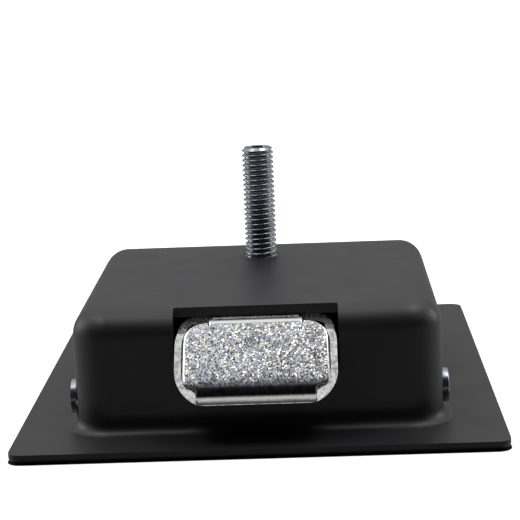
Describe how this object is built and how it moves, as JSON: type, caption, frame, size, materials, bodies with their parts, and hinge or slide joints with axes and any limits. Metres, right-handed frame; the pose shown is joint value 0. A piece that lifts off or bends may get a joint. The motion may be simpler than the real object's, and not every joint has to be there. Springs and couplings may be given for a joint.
{
  "type": "flush paddle latch",
  "caption": "Flush-mount paddle latch: black drawn steel dish with flange, clamping stud, sprung folded slam bolt and a pull paddle that draws the bolt back.",
  "frame": {"origin": "centre of the flange on its front face, on which the latch lies", "axes": "+Z along the stud into the door, -Y the way the bolt leaves the dish, X across the bolt along the pivot pin"},
  "size_m": [0.11, 0.13, 0.058],
  "materials": {
    "black_coat": "satin",
    "zinc_plate": "bright",
    "spring_steel": "satin"
  },
  "bodies": {
    "housing": {"pan": "black_coat", "stud": "zinc_plate", "pivot_pin": "zinc_plate", "spacer_left": "zinc_plate", "spacer_right": "zinc_plate", "spring_bracket": "zinc_plate", "guide_rod": "zinc_plate", "bolt_spring": "spring_steel"},
    "paddle": {"paddle": "black_coat", "yoke": "zinc_plate"},
    "bolt": {"bolt": "zinc_plate", "drive_pin": "zinc_plate", "clip_left": "spring_steel", "clip_right": "spring_steel"}
  },
  "joints": [
    {"name": "paddle_hinge", "type": "hinge", "parent": "housing", "child": "paddle", "pos_m": [0, -0.04, 0.0082], "axis": [-1, 0, 0], "range_deg": [0, 48]},
    {"name": "bolt_slide", "type": "slide", "parent": "housing", "child": "bolt", "axis": [0, 1, 0], "range_m": [0, 0.0117], "stiffness_N_per_m": 800, "springref_m": -0.01, "deforming": ["bolt_spring"]}
  ],
  "couplings": [
    {"joint": "bolt_slide", "follows": "paddle_hinge", "m_per_rad": 0.01392}
  ]
}
